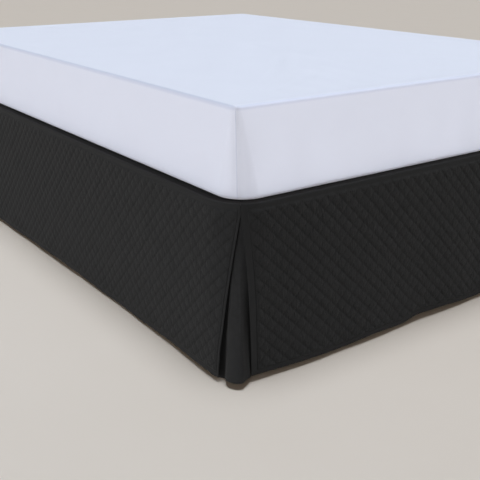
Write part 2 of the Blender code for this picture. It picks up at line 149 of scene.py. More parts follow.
FOOT_FOLDS = (
    Fold(0.030, 0.0122, 0.0050),
    Fold(0.056, 0.0122, 0.0042),
    Fold(0.090, 0.0132, 0.0028),
    Fold(0.123, 0.0146, 0.0018),
    Fold(0.180, 0.0175, 0.0009),
    Fold(0.239, 0.0194, 0.0000),
    Fold(0.304, 0.0175, -0.0025),
    Fold(0.369, 0.0176, 0.0005),
    Fold(0.438, 0.0158, 0.0025),
    Fold(0.496, 0.0118, -0.0015),
    Fold(0.536, 0.0092, -0.0008),
    Fold(0.560, 0.0078, 0.0035),
    Fold(0.582, 0.0068, 0.0060),
    Fold(0.629, 0.0070, 0.0048),
    Fold(0.668, 0.0082, 0.0044),
    Fold(0.740, 0.0072, 0.0012),
    Fold(0.800, 0.0030, -0.0020),
    Fold(0.870, 0.0040, 0.0000),
    Fold(0.950, 0.0080, 0.0010),
    Fold(1.070, 0.0230, 0.0000),
    Fold(1.190, 0.0120, 0.0010),
    Fold(1.300, 0.0130, 0.0000),
    Fold(1.366, 0.0125, 0.0000),
)

# An insert's hem: its place along the corner at the top, from the sharp corner at the hem, and its lift
Pleat = namedtuple("Pleat", "along_top from_side from_foot lift")
PLEAT_HEM = (
    Pleat(-0.150, -0.0080, 0.1800, 0.0),
    Pleat(-0.120, -0.0085, 0.1500, 0.0),
    Pleat(-0.092, -0.0100, 0.1200, 0.0),
    Pleat(-0.070, -0.0115, 0.0940, -0.0020),
    Pleat(-0.053, -0.0120, 0.0740, -0.0050),
    Pleat(-0.041, -0.0105, 0.0600, -0.0080),
    Pleat(-0.033, -0.0060, 0.0500, -0.0090),
    Pleat(-0.027, -0.0005, 0.0420, -0.0090),
    Pleat(-0.022, 0.0025, 0.0345, -0.0090),
    Pleat(-0.017, 0.0005, 0.0265, -0.0070),
    Pleat(-0.013, -0.0045, 0.0200, -0.0030),
    Pleat(-0.010, -0.0090, 0.0130, 0.0010),
    Pleat(-0.007, -0.0110, 0.0040, 0.0030),
    Pleat(-0.004, -0.0095, -0.0060, 0.0040),
    Pleat(0.000, -0.0050, -0.0150, 0.0045),
    Pleat(0.005, 0.0025, -0.0230, 0.0045),
    Pleat(0.011, 0.0112, -0.0255, 0.0045),
    Pleat(0.017, 0.0215, -0.0213, 0.0045),
    Pleat(0.023, 0.0300, -0.0168, 0.0045),
    Pleat(0.030, 0.0370, -0.0135, 0.0030),
    Pleat(0.038, 0.0440, -0.0080, 0.0000),
    Pleat(0.048, 0.0560, 0.0010, -0.0020),
    Pleat(0.062, 0.0770, 0.0060, -0.0010),
    Pleat(0.080, 0.1000, 0.0030, 0.0),
    Pleat(0.108, 0.1300, -0.0030, 0.0),
    Pleat(0.150, 0.1750, -0.0070, 0.0),
)
INSERT_BEND = 1.8           # the insert's fold opens late on its way down
INSERT_DROP = 0.002         # from the turned edge down to an insert's top
INSERT_INSET = 0.0032       # from a panel's outer face to the insert's, at the top

# Where a panel ends at a corner: arc of the top edge that it covers, where its hem stops from the sharp
# corner, how early its end opens on the way down, and the width of the plain band along its edge
PanelEnd = namedtuple("PanelEnd", "arc hem_end bend band")
HALF_ARC = CORNER * pi / 4
SIDE_END = PanelEnd(HALF_ARC + SEAM_SHIFT, 0.033, 1.45, 0.005)
FOOT_END = PanelEnd(HALF_ARC - SEAM_SHIFT, 0.0445, 3.0, 0.015)
SIDE_LENGTH = SIDE_END.arc + BASE_LENGTH + SKIRT_OUT - CORNER
FOOT_LENGTH = 2 * (FOOT_END.arc + HALF_WIDTH - CORNER)
print(f"the side panels are {SIDE_LENGTH:.3f} m long and the foot panel {FOOT_LENGTH:.3f} m")

# %% [markdown]
# ## How a panel hangs
#
# A hanging panel could be draped by a cloth simulation, but a sewn skirt is taut at the top and nearly flat,
# and its few folds have to fall in known places. So it is a surface with two parameters: how far along the
# top edge, and how high above the floor. At the top the cloth follows the base's rounded corner, at the hem
# it follows the table of folds, and between them one shape fades into the other.

# %% Curves that panels share
def smooth_step(x):
    """0 to 1 with level ends: 3x^2 - 2x^3."""
    x = np.clip(x, 0, 1)
    return x * x * (3 - 2 * x)


def smooth_through(places, values, x):
    """A smooth curve through the given values: cubic pieces whose slopes come from their neighbours."""
    places, values = np.array(places), np.array(values)
    slopes = np.gradient(values, places)
    i = np.clip(np.searchsorted(places, x) - 1, 0, len(places) - 2)
    step = places[i + 1] - places[i]
    t = np.clip((x - places[i]) / step, 0, 1)
    ease = t * t * (3 - 2 * t)
    start = t * (1 - t) ** 2 * step * slopes[i]
    end = t * t * (t - 1) * step * slopes[i + 1]
    return values[i] * (1 - ease) + values[i + 1] * ease + start + end


def hang(height):
    """How far a height is from the corner seam's end (0) to the hem (1)."""
    return np.clip((SEAM_END - height) / (SEAM_END - HEM_HEIGHT), 0, 1)


def top_edge(along, arc):
    """Top edge as (inward, from the sharp corner): an arc of the corner's radius, then a straight side."""
    angle = (arc - np.minimum(along, arc)) / CORNER
    straight = np.maximum(along - arc, 0)
    return CORNER * (1 - np.cos(angle)), CORNER * (1 - np.sin(angle)) + straight


def opening(height, panel_end):
    """How far a panel has left the shape of the top edge: 0 at the seam's end, 1 at the hem."""
    return 1 - (1 - hang(height)) ** panel_end.bend


def slide(along, height, panel_end):
    """How far the cloth has slid from the corner: the end's set-back, fading out along the panel."""
    set_back = panel_end.hem_end - (CORNER - panel_end.arc)
    return opening(height, panel_end) * set_back * (1 - smooth_step(along / EASE))


def hang_from_corner(along, height, folds, panel_end):
    """A panel by distance from its corner seam: (inward, from the sharp corner, lift)."""
    inward, across = top_edge(along, panel_end.arc)
    at_seam = CORNER - panel_end.arc
    set_back = panel_end.hem_end - at_seam
    hem_across = along + at_seam + set_back * (1 - smooth_step(along / EASE))
    places = [fold.along for fold in folds]
    outward = smooth_through(places, [fold.outward for fold in folds], hem_across)
    lift = smooth_through(places, [fold.lift for fold in folds], hem_across)
    w = opening(height, panel_end)
    flare = hang(height)
    return inward * (1 - w) - outward * flare, across * (1 - w) + hem_across * w, lift * flare


# %% Plans of the three panels
def side_plan(folds, side):
    """A side panel's points by distance from its corner seam. side is -1 on the left and 1 on the right."""
    def plan(along, height):
        """x, y and z of the points."""
        inward, across, lift = hang_from_corner(along, height, folds, SIDE_END)
        return side * (HALF_WIDTH - inward), across - HALF_LENGTH + BED_SHIFT, height + lift
    return plan


def foot_plan(along, height):
    """The foot panel's points by distance from its left seam. The right half starts from the right seam."""
    left = hang_from_corner(along, height, FOOT_FOLDS, FOOT_END)
    mirrored = tuple(Fold(2 * HALF_WIDTH - f.along, f.outward, f.lift) for f in FOOT_FOLDS[::-1])
    right = hang_from_corner(FOOT_LENGTH - along, height, mirrored, FOOT_END)
    near_left = along < FOOT_LENGTH / 2
    inward = np.where(near_left, left[0], right[0])
    x = np.where(near_left, left[1] - HALF_WIDTH, HALF_WIDTH - right[1])
    return x, inward - HALF_LENGTH + BED_SHIFT, height + np.where(near_left, left[2], right[2])


RUN_STEP = 0.0005           # length over which the direction of a cloth's run is measured


def level_normals(plan, along, height, outward):
    """Level directions square to the cloth's run, measured over a millimetre. outward is 1 or -1."""
    ahead, behind = plan(along + RUN_STEP, height), plan(along - RUN_STEP, height)
    run = np.stack((ahead[0] - behind[0], ahead[1] - behind[1]), -1)
    run /= np.linalg.norm(run, axis=-1, keepdims=True)
    return outward * np.stack((run[..., 1], -run[..., 0], 0 * run[..., 0]), -1)


# %% [markdown]
# ## From arrays to a closed cloth
#
# A surface on a grid is a table of points, and its faces are the table's cells. A cloth has two faces, so a
# Solidify modifier could copy the front, but it would copy the quilting's thousands of small cells too. Here
# the back is the same grid with most of its points merged: a cell whose corners have merged has no area and
# is left out. The four edges are closed with strips between front and back.

# %% Meshes from grids
def cells(corner):
    """The four corners of every cell of a table of point numbers."""
    return corner[:-1, :-1], corner[:-1, 1:], corner[1:, 1:], corner[1:, :-1]


def triangles(a, b, c, d, other_way=None):
    """Each four-cornered cell as two triangles, split from a to c, or from b to d where other_way is true."""
    a, b, c, d = (np.asarray(x).ravel() for x in (a, b, c, d))
    other_way = np.zeros(len(a), bool) if other_way is None else np.asarray(other_way).ravel()
    first = np.where(other_way[:, None], np.stack((a, b, d), 1), np.stack((a, b, c), 1))
    second = np.where(other_way[:, None], np.stack((b, c, d), 1), np.stack((a, c, d), 1))
    both = np.concatenate((first, second))
    alive = (both[:, 0] != both[:, 1]) & (both[:, 1] != both[:, 2]) & (both[:, 2] != both[:, 0])
    return both[alive]


def merged(kept):
    """For each row or column, the last kept one at or before it."""
    return np.maximum.accumulate(np.where(kept, np.arange(len(kept)), 0))


def volume(points, faces):
    """The volume inside a closed set of triangles: a sixth of the sum of their triple products."""
    a, b, c = points[faces[:, 0]], points[faces[:, 1]], points[faces[:, 2]]
    return float((a * np.cross(b, c)).sum() / 6)


SHARP = radians(65)         # edges that turn by more than this are shaded as corners


def new_piece(name, points, faces, maps, sharp=SHARP):
    """An object from points, triangles and maps, which give each point's place on the flat cloth."""
    used, numbers = np.unique(faces, return_inverse=True)
    points, faces = points[used], numbers.reshape(faces.shape)
    if volume(points, faces) < 0:
        faces = faces[:, ::-1]
    mesh = bpy.data.meshes.new(name)
    mesh.from_pydata(points, [], faces)
    for title, places in maps.items():
        layer = mesh.uv_layers.new(name=title)
        layer.data.foreach_set("uv", places[used][faces.ravel()].astype(np.float32).ravel())
    mesh.shade_smooth()
    mesh.set_sharp_from_angle(angle=sharp)
    piece = bpy.data.objects.new(name, mesh)
    bpy.context.collection.objects.link(piece)
    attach(piece, "root")
    print(f"{name}: {len(points)} points, {len(faces)} triangles")
    return piece


def cloth(name, front, back, maps, kept_rows, kept_columns, other_way=None):
    """A closed cloth from two tables of points. The back keeps only some rows and columns, the rest merge."""
    count = front.shape[0] * front.shape[1]
    on_front = np.arange(count).reshape(front.shape[:2])
    on_back = count + on_front[merged(kept_rows)][:, merged(kept_columns)]
    faces = [triangles(*cells(on_front), other_way), triangles(*cells(on_back)[::-1])]
    for edge, turned in ((np.s_[0], True), (np.s_[-1], False), (np.s_[:, 0], False), (np.s_[:, -1], True)):
        corners = cells(np.stack((on_front[edge], on_back[edge])))
        faces.append(triangles(*(corners[::-1] if turned else corners)))
    points = np.concatenate((front.reshape(-1, 3), back.reshape(-1, 3)))
    both = {title: np.tile(places.reshape(-1, 2), (2, 1)) for title, places in maps.items()}
    return new_piece(name, points, np.concatenate(faces), both)


# %% [markdown]
# ## The quilted panels
#
# Quilting is two cloths with wadding between them, stitched along crossing lines so that each diamond stands
# up as a small pillow. A bump map could fake it, but then the pillows would have no outline and cast no
# shade, so they are real. Two slanted counts, one for each family of lines, give every point its place in its
# diamond, and the pillow is the product of two arches. The grid has a point on every crossing, and cells that
# a stitched line crosses are split along it, which keeps the grooves clean.
#
# The cloth is quilted before it is cut. So the diamonds don't bend to follow the slanted edge at a pleat: the
# edge cuts through them, and a plain band is folded over it, as at the hem.

# %% Rows and columns of a panel
DIAMOND_CELLS = 8           # cells across and down one diamond
Quilting = namedtuple("Quilting", "width across up")    # of a diamond, and its shift in eighths of one
SIDE_QUILTING = Quilting(0.0337, 3, -1)
FOOT_QUILTING = Quilting(0.0341, 4, 0)
ROW = PILLOW_HEIGHT / DIAMOND_CELLS
EDGE_ZONE = 0.066           # columns move with a slanted edge this far in
EDGE_KEEP = 0.020           # and keep their distance from it this far in
BACK_ROWS = 6               # one row in six is kept on a panel's plain back
BACK_FINE = 0.14            # and one column in two this near to an end, one in eight elsewhere
UP = np.array((0.0, 0.0, 1.0))


def panel_rows():
    """Rows down a panel, as arrays of height, tilt, inset and depth down the cloth.

    The lip is flat, the turn is a quarter circle, and the rest hangs, with eight rows to a diamond.
    """
    lip = np.array((0.0, 0.003, 0.006, 0.009, 0.012))
    tilt = np.linspace(pi / 2, 0, 9)
    hanging = np.concatenate((
        np.linspace(TURN, QUILT_TOP, 5)[1:-1],
        np.linspace(QUILT_TOP, QUILT_BOTTOM, QUILT_ROWS * DIAMOND_CELLS + 1),
        QUILT_BOTTOM - np.array((0.0015, 0.003, 0.006, 0.009, 0.0105, 0.0113, 0.0118, 0.012)),
    ))
    height = np.concatenate((SKIRT_TOP + 0 * lip, TURN + ROLL * np.sin(tilt), hanging))
    inset = np.concatenate((LIP - lip, ROLL * (1 - np.cos(tilt)), 0 * hanging))
    tilts = np.concatenate((pi / 2 + 0 * lip, tilt, 0 * hanging))
    turned = LIP - ROLL + ROLL * (pi / 2 - tilt)
    depth = np.concatenate((lip, turned, turned[-1] + TURN - hanging))
    return height, tilts, inset, depth


def end_columns(slanted, cell):
    """Columns from a panel's end to where the even ones start: close together at a slanted edge."""
    if not slanted:
        return np.array((0.0, 0.0005, 0.0012, 0.0025, cell, 2 * cell))
    close = np.array((0.0, 0.0003, 0.0007, 0.0012, 0.002, 0.003, 0.0045, 0.006, 0.0075, 0.009, 0.0105, 0.012))
    return np.concatenate((close, np.arange(0.013, 0.017, 0.0007), np.arange(0.0175, EDGE_ZONE, cell / 3)))


def panel_columns(length, slanted_far, cell):
    """Columns along a panel's top edge, with eight columns to a diamond between its ends."""
    near, far = end_columns(True, cell), end_columns(slanted_far, cell)
    even = np.arange(np.ceil(EDGE_ZONE / cell), length / cell) * cell
    even = even[even < length - far[-1] - cell / 2]
    return np.concatenate((near, even, (length - far)[::-1]))


# %% Relief of the quilting
ARCH_POWER = 0.55           # below 1 the pillows are full, with steep sides
SECOND_DEPTH = 0.68         # depth of the second family of stitched lines, as a share of the first
TOP_FADE = (0.003, -0.006)  # pillows grow from 0 to full between these heights, from the top band's edge
HEM_FADE, BAND_FADE = 0.004, 0.010      # and in these lengths from the hem's and the pleat's plain bands
SEAM_DIP, SEAM_REACH = 0.0012, 0.003    # how far the cloth sinks into the corner seam, and how wide
SEAM_FADE = 0.004           # half the height over which the seam turns into an open pleat
RIPPLE_FADE = 0.020         # half the height over which slow ripples set in below the seam
EDGE_ROUND = 0.001          # radius of a folded edge


def arch(x):
    """1 in the middle between two whole numbers, 0 on them, as a parabola."""
    part = x - np.floor(x)
    return 4 * part * (1 - part)


def fade(x, start, end):
    """0 before start, 1 after end, smooth between."""
    return smooth_step((x - start) / (end - start))


def pillows(across, up, rng):
    """Rise of the quilted diamonds: the product of two arches, one for each family of stitched lines.

    The second family was sewn across cloth that the first had already gathered, so it sinks in less.
    """
    one, two = across + up, across - up
    own = rng.uniform(0.80, 1.10, (97, 101))
    fullness = own[np.floor(one).astype(int) % 97, np.floor(two).astype(int) % 101]
    first, second = arch(one) ** ARCH_POWER, arch(two) ** ARCH_POWER
    return PILLOW_RISE * fullness * first * (1 - SECOND_DEPTH + SECOND_DEPTH * second)


def ripples(along_cloth, height, rng, rise=0.0005):
    """Slow unevenness of a sewn cloth: waves of 7 to 30 cm in random directions."""
    total = 0
    for _ in range(7):
        long, angle, start = rng.uniform(0.07, 0.30), rng.uniform(-1.2, 1.2), rng.uniform(0, 2 * pi)
        along_wave = along_cloth * cos(angle) + height * sin(angle)
        total = total + np.sin(2 * pi * along_wave / long + start)
    return rise * total / 2


def rounded_edge(distance):
    """How far a folded edge has curved back at a distance from its end: a quarter circle."""
    left = np.clip(1 - distance / EDGE_ROUND, 0, 1)
    return EDGE_ROUND * (1 - np.sqrt(1 - left ** 2))


# %% One panel
def moved(from_end):
    """1 where columns keep their distance from a slanted edge, 0 where they stand still."""
    return np.clip((EDGE_ZONE - from_end) / (EDGE_ZONE - EDGE_KEEP), 0, 1)


def along_top(along_cloth, height, length, near_end, far_end):
    """Where on the top edge a point of the flat cloth hangs from: the slide of the cloth is taken off.

    The slide depends on the answer, so the answer is put in again a few times, until it no longer changes.
    """
    along = along_cloth
    for _ in range(8):
        along = along_cloth - slide(along, height, near_end)
        if far_end:
            along = along + slide(length - along, height, far_end)
    return np.clip(along, GAP / 2, length - GAP / 2)


def quilted_panel(name, plan, length, outward, near_end, far_end, quilting, seed):
    """A hanging quilted panel over the solid of that name. far_end is None where that end has no pleat."""
    rng = np.random.default_rng(seed)
    height, tilt, inset, depth = (row[:, None] for row in panel_rows())
    cell = quilting.width / DIAMOND_CELLS
    columns = panel_columns(length, far_end is not None, cell)[None, :]

    near_cut = slide(0.0, height, near_end)
    far_cut = slide(0.0, height, far_end) if far_end else 0 * height
    along_cloth = columns + near_cut * moved(columns) - far_cut * moved(length - columns)
    along = along_top(along_cloth, height, length, near_end, far_end)
    x, y, z = plan(along, height)
    level = level_normals(plan, along, height, outward)
    normal = level * np.cos(tilt)[..., None] + UP * np.sin(tilt)[..., None]
    surface = np.stack((x, y, z), -1) - inset[..., None] * level

    from_near, from_far = along_cloth - near_cut, length - far_cut - along_cloth
    from_edge = np.minimum(from_near, from_far)
    from_seam = from_edge if far_end else from_near
    quilted = fade(height, QUILT_TOP + TOP_FADE[0], QUILT_TOP + TOP_FADE[1])
    quilted = quilted * fade(height, QUILT_BOTTOM, QUILT_BOTTOM + HEM_FADE)
    quilted = quilted * fade(from_seam, near_end.band, near_end.band + BAND_FADE)
    closed = fade(height, SEAM_END - SEAM_FADE, SEAM_END + SEAM_FADE)
    across = along_cloth / quilting.width + quilting.across / DIAMOND_CELLS
    up = (height - QUILT_BOTTOM) / PILLOW_HEIGHT + quilting.up / DIAMOND_CELLS + 0 * across
    rise = quilted * pillows(across, up, rng)
    below_seam = fade(height, SEAM_END + RIPPLE_FADE, SEAM_END - RIPPLE_FADE)
    rise = rise + below_seam * ripples(along_cloth, height, rng)
    rise = rise - closed * SEAM_DIP * np.exp(-(from_seam / SEAM_REACH) ** 2)
    rise = rise - (1 - closed) * rounded_edge(from_edge) - rounded_edge(height - HEM_HEIGHT)
    front = surface + rise[..., None] * normal
    back = surface - QUILTED * normal

    row, column = np.arange(height.size), np.arange(columns.size)
    kept_rows = (height[:, 0] > QUILT_TOP - ROW / 2) | (row % BACK_ROWS == 0) | (row == row[-1])
    end = np.minimum(columns[0], length - columns[0])
    kept_columns = np.where(end < BACK_FINE, column % 2 == 0, column % DIAMOND_CELLS == 0)
    kept_columns[-1] = True
    first = int(np.argmin(np.abs(height[:, 0] - QUILT_TOP)))
    number = np.round(across * DIAMOND_CELLS)
    other_way = (row[:-1, None] - first + number[:-1, :-1] + 1 - quilting.up) % DIAMOND_CELLS == 0
    maps = {
        "cloth": np.stack((along_cloth, depth + 0 * along_cloth), -1),
        "edges": np.stack((from_seam - near_end.band, height + 0 * along_cloth), -1),
        "quilting": np.stack((across, up), -1),
    }
    piece = cloth(name + "_cloth", front, back, maps, kept_rows, kept_columns, other_way)
    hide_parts(name)
    return piece


# %% The three panels
left_plan, right_plan = side_plan(LEFT_FOLDS, -1), side_plan(RIGHT_FOLDS, 1)
skirt_left = quilted_panel("skirt_left", left_plan, SIDE_LENGTH, -1, SIDE_END, None, SIDE_QUILTING, 11)
skirt_right = quilted_panel("skirt_right", right_plan, SIDE_LENGTH, 1, SIDE_END, None, SIDE_QUILTING, 12)
skirt_foot = quilted_panel("skirt_foot", foot_plan, FOOT_LENGTH, 1, FOOT_END, FOOT_END, FOOT_QUILTING, 13)

# %% [markdown]
# ## The inserts behind the pleats
#
# The corner pleat opens when someone sits on the bed or when a bed has a footboard post, and a plain cloth
# behind it keeps the base out of sight. It is sewn in under both panels at the top and hangs free in one
# rounded fold that bulges out between them. It is the same kind of surface as a panel, with its own table of
# places along the hem, and a few soft creases laid over it.

# %% Shape of an insert
INSERT_COLUMNS, INSERT_ROWS = 150, 90
HOLLOW_DEPTH = 0.0022       # how far the insert sinks in at the crack beside the side panel


def insert_plan(side):
    """An insert's points by place along its top: the corner's curve there, the pleat's table at the hem."""
    steps = np.arange(len(PLEAT_HEM))
    tops = np.array([row.along_top for row in PLEAT_HEM])

    def plan(along, height):
        """x, y and z: the top's curve fades into the hem's, slowly at first, by a power of the way down."""
        at = np.interp(along, tops, steps)
        hem_x = smooth_through(steps, [row.from_side for row in PLEAT_HEM], at)
        hem_y = smooth_through(steps, [row.from_foot for row in PLEAT_HEM], at)
        lift = smooth_through(steps, [row.lift for row in PLEAT_HEM], at)
        inward, across = top_edge(np.abs(along), HALF_ARC)
        top_x, top_y = np.where(along < 0, inward, across), np.where(along < 0, across, inward)
        w = hang(height) ** INSERT_BEND
        x, y = top_x * (1 - w) + hem_x * w, top_y * (1 - w) + hem_y * w
        return side * (HALF_WIDTH - x), y - HALF_LENGTH + BED_SHIFT, height + lift * w
    return plan


# Soft creases of an insert: place along its top, lean to the side per metre down, rise, width, and the
# heights between which it shows
Crease = namedtuple("Crease", "along lean rise width low high")
CREASES = (
    Crease(-0.006, -0.010, 0.0010, 0.0020, 0.05, 0.33),
    Crease(0.004, 0.012, -0.0008, 0.0022, 0.02, 0.25),
    Crease(0.013, 0.004, 0.0009, 0.0030, 0.02, 0.18),
    Crease(0.001, -0.006, 0.0006, 0.0014, 0.20, 0.37),
)


def creases(along, height):
    """Troughs and ridges: each is a bell curve across its line, faded in and out along it."""
    total = 0
    for crease in CREASES:
        line = crease.along + crease.lean * (TURN - height)
        shown = fade(height, crease.low, crease.low + 0.04) * fade(height, crease.high, crease.high - 0.04)
        total = total + crease.rise * shown * np.exp(-((along - line) / crease.width) ** 2)
    return total


# Where the rounded fold ends, as pairs of how far down and the place along the insert's top: at the crack
# beside the side panel, and where the painted shade beside the foot panel sets in
CRACK = (
    (0.0, 0.012), (0.05, 0.0115), (0.14, 0.0046), (0.27, -0.0029), (0.50, -0.0105), (0.72, -0.018),
    (1.0, -0.020),
)
RIGHT_SHADE = ((0.0, 0.026), (0.35, 0.024), (0.50, 0.016), (0.72, 0.007), (1.0, 0.003))


def pleat_sides(along, height):
    """How far inside the pleat a place is, 0 on the rounded fold, beside the side and the foot panel: weights
    of painted shade, the first also of the hollow.
    """
    down = hang(height)
    crack, shade = (np.interp(down, *zip(*table)) for table in (CRACK, RIGHT_SHADE))
    beside_side = fade(along, crack + 0.0004, crack - 0.0012)
    beside_foot = fade(along, shade - 0.004, shade + 0.014) * fade(down, 0.28, 0.50)
    return beside_side, beside_foot


# %% The two inserts
def pleat_insert(name, side, seed):
    """The plain cloth behind a corner's open pleat."""
    rng = np.random.default_rng(seed)
    tops = np.array([row.along_top for row in PLEAT_HEM])
    along = np.interp(np.linspace(0, 1, INSERT_COLUMNS), np.linspace(0, 1, len(tops)), tops)[None, :]
    hem_rows = HEM_HEIGHT + np.array((0.012, 0.010, 0.006, 0.003, 0.0012, 0.0006, 0.0002, 0.0))
    upper_rows = np.linspace(TURN - INSERT_DROP, hem_rows[0] + 0.004, INSERT_ROWS)
    height = np.concatenate((upper_rows, hem_rows))[:, None]
    plan = insert_plan(side)
    x, y, z = plan(along, height)
    level = level_normals(plan, along, height, -side)
    room = INSERT_INSET * (1 - hang(height) ** INSERT_BEND)
    surface = np.stack((x, y, z), -1) - room[..., None] * level
    beside_side, beside_foot = pleat_sides(along, height)
    rise = creases(-side * along, height) + 0.4 * hang(height) * ripples(along, height, rng)
    rise = rise - HOLLOW_DEPTH * beside_side * fade(hang(height), 0.8, 0.6) * fade(along, -0.060, -0.040)
    rise = rise - rounded_edge(height - HEM_HEIGHT) * PLAIN / QUILTED
    front, back = surface + rise[..., None] * level, surface - PLAIN * level + 0.5 * rise[..., None] * level

    middle = level_distance(front)
    row, column = np.arange(height.size), np.arange(along.size)
    # The pleat map carries the weights of the painted shade on the plain cloth.
    maps = {
        "cloth": np.stack((middle, TURN - height + 0 * along), -1),
        "pleat": np.stack((beside_side, beside_foot), -1),
    }
    kept_rows = (row % 4 == 0) | (row == row[-1])
    kept_columns = (column % 2 == 0) | (column == column[-1])
    piece = cloth(name + "_cloth", front, back, maps, kept_rows, kept_columns)
    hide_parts(name)
    return piece


def level_distance(points):
    """Distance along each row from its middle: the lengths of its steps, added up."""
    steps = np.linalg.norm(np.diff(points, axis=1), axis=-1)
    total = np.concatenate((np.zeros((len(points), 1)), np.cumsum(steps, 1)), 1)
    return total - total[:, [points.shape[1] // 2]]


insert_left = pleat_insert("insert_left", -1, 21)
insert_right = pleat_insert("insert_right", 1, 22)

# %% [markdown]
# ## The mattress, the base and the deck cloth
#
# The skirt only makes sense on a bed, so the bed is built plain with it. The mattress, the box base and the
# flat deck cloth between them are all stacks of rounded rectangles. A stack could be a bevelled cube, but
# as rings of points each height can have its own corner radius: this mattress is nearly square at the top
# corners, where its cover is sewn, and rounder at the bottom, where the cover is pulled under.

# %% Stacks of rounded rectangles
def rounded_rings(half_x, foot, head, foot_radius, head_radius, side_steps, end_steps, corner_steps):
    """Rings of points: four quarter circles joined by straight runs, anticlockwise from the left foot corner.

    half_x is half the width, foot and head are the ends' places. Each size is a column with one value a ring.
    """
    turn = np.linspace(0, pi / 2, corner_steps + 1)
    corners = []
    for across, y, into, radius, start in (
        (-1, foot, 1, foot_radius, pi), (1, foot, 1, foot_radius, 1.5 * pi),
        (1, head, -1, head_radius, 0), (-1, head, -1, head_radius, pi / 2),
    ):
        centre_x, centre_y = across * (half_x - radius), y + into * radius
        corners.append((centre_x + radius * np.cos(start + turn), centre_y + radius * np.sin(start + turn)))
    runs = []
    for k, steps in enumerate((end_steps, side_steps, end_steps, side_steps)):
        (x, y), (next_x, next_y) = corners[k], corners[(k + 1) % 4]
        t = np.linspace(0, 1, steps + 1)[1:-1]
        runs.append(np.concatenate((x, x[:, -1:] * (1 - t) + next_x[:, :1] * t), 1))
        runs.append(np.concatenate((y, y[:, -1:] * (1 - t) + next_y[:, :1] * t), 1))
    return np.concatenate(runs[0::2], 1), np.concatenate(runs[1::2], 1)


def stack(name, x, y, z, sharp=SHARP):
    """A closed piece from rings of points, bottom first, with a fan of triangles over both ends."""
    rings, count = x.shape
    number = np.arange(rings * count).reshape(rings, count)
    number = np.concatenate((number, number[:, :1]), 1)
    bottom, top = rings * count, rings * count + 1
    faces = [triangles(*cells(number))]
    for ring, middle in ((number[0], bottom), (number[-1], top)):
        fan = np.stack((ring[:-1], ring[1:], np.full(count, middle)), 1)
        faces.append(fan[:, ::-1] if middle == bottom else fan)
    points = np.stack((x, y, z + 0 * x), -1)
    ends = points[[0, -1]].mean(1)
    return new_piece(name, np.concatenate((points.reshape(-1, 3), ends)), np.concatenate(faces), {}, sharp)


# %% The mattress
MATTRESS_HEIGHT = 0.204
MATTRESS_INSET = 0.015      # inside the base's sides
MATTRESS_SHIFT = 0.003      # the mattress lies this far towards the foot
MATTRESS_CORNERS = (0.070, 0.016)   # corner radius at the bottom and at the top
MATTRESS_LOWER_EDGE, MATTRESS_UPPER_EDGE = 0.010, 0.006
CORNER_SEAM = (0.0009, 0.0016)      # rise and width of the seam down each corner
HOLLOW = (0.0026, 0.019, 0.013)     # depth, place and width of the soft hollow beside it
DRAPE = 0.0012              # slow waves where the cover is pulled under
TOP_SINK = 0.0012           # how far the top has sunk below its edges


def edge_rings(radius, start, end, steps):
    """A rounded edge as (height above its start, inset): a quarter circle from one angle to another."""
    angle = np.linspace(start, end, steps + 1)
    return radius * (1 - np.cos(angle)), radius * (1 - np.sin(angle))


def mattress_profile():
    """Heights and insets of the mattress's rings, from the middle of its underside to that of its top."""
    low, low_inset = edge_rings(MATTRESS_LOWER_EDGE, 0, pi / 2, 8)
    high, high_inset = edge_rings(MATTRESS_UPPER_EDGE, 0, pi / 2, 10)
    side = np.linspace(MATTRESS_LOWER_EDGE, MATTRESS_HEIGHT - MATTRESS_UPPER_EDGE, 34)[1:-1]
    inner = np.array((0.30, 0.08, 0.03))
    outer = np.array((0.018, 0.026, 0.038, 0.055, 0.08, 0.11, 0.15, 0.20, 0.27, 0.36, 0.46, 0.56, 0.64))
    top = MATTRESS_HEIGHT + 0 * outer
    height = np.concatenate((0 * inner, low, side, (MATTRESS_HEIGHT - high)[::-1], top))
    inset = np.concatenate((inner, low_inset, 0 * side, high_inset[::-1], outer))
    return height[:, None], inset[:, None]


def from_corners(x, y, half_x, foot, head):
    """Two distances from the nearest corner: across its diagonal, positive towards the ends, and away."""
    to_side = half_x - np.abs(x)
    to_end = np.where(y < (foot + head) / 2, y - foot, head - y)
    return (to_side - to_end) / 2 ** 0.5, np.maximum(to_side, to_end)


def mattress():
    """The mattress in its sewn cover, with a seam down each corner and a soft hollow beside it."""
    rng = np.random.default_rng(31)
    half_x, half_y = BASE_WIDTH / 2 - MATTRESS_INSET, BASE_LENGTH / 2 - MATTRESS_INSET
    middle = BED_SHIFT - MATTRESS_SHIFT
    height, inset = mattress_profile()
    corner = np.interp(height, (0, MATTRESS_HEIGHT), MATTRESS_CORNERS) - inset
    corner = np.maximum(corner, 0.0004)
    foot, head = middle - half_y, middle + half_y
    x, y = rounded_rings(half_x - inset, foot + inset, head - inset, corner, corner, 150, 110, 56)
    up = height / MATTRESS_HEIGHT
    across, away = from_corners(x, y, half_x, foot, head)
    on_side = fade(inset, 0.013, 0.0) * fade(up, 0.0, 0.06)
    seam = CORNER_SEAM[0] * np.exp(-(across / CORNER_SEAM[1]) ** 2)
    hollow = -HOLLOW[0] * np.exp(-((across - HOLLOW[1]) / HOLLOW[2]) ** 2)
    hollow = hollow * fade(up, 0.92, 0.55) * fade(up, 0.0, 0.10)
    drape = DRAPE * np.sin(2 * pi * (x * 3.1 + y * 2.7)) * fade(up, 0.5, 0.05) * fade(away, 0.05, 0.25)
    out = on_side * (seam + hollow + drape + ripples(x - y, 0.4 * height, rng, 0.0004))
    run_x = np.roll(x, -1, 1) - np.roll(x, 1, 1)
    run_y = np.roll(y, -1, 1) - np.roll(y, 1, 1)
    long = np.hypot(run_x, run_y)
    on_top = fade(inset, 0.02, 0.06) * (up > 0.9)
    z = MATTRESS_BOTTOM + height + on_top * (ripples(x, y, rng, 0.0008) - TOP_SINK)
    return stack("mattress_and_cover", x + out * run_y / long, y - out * run_x / long, z)


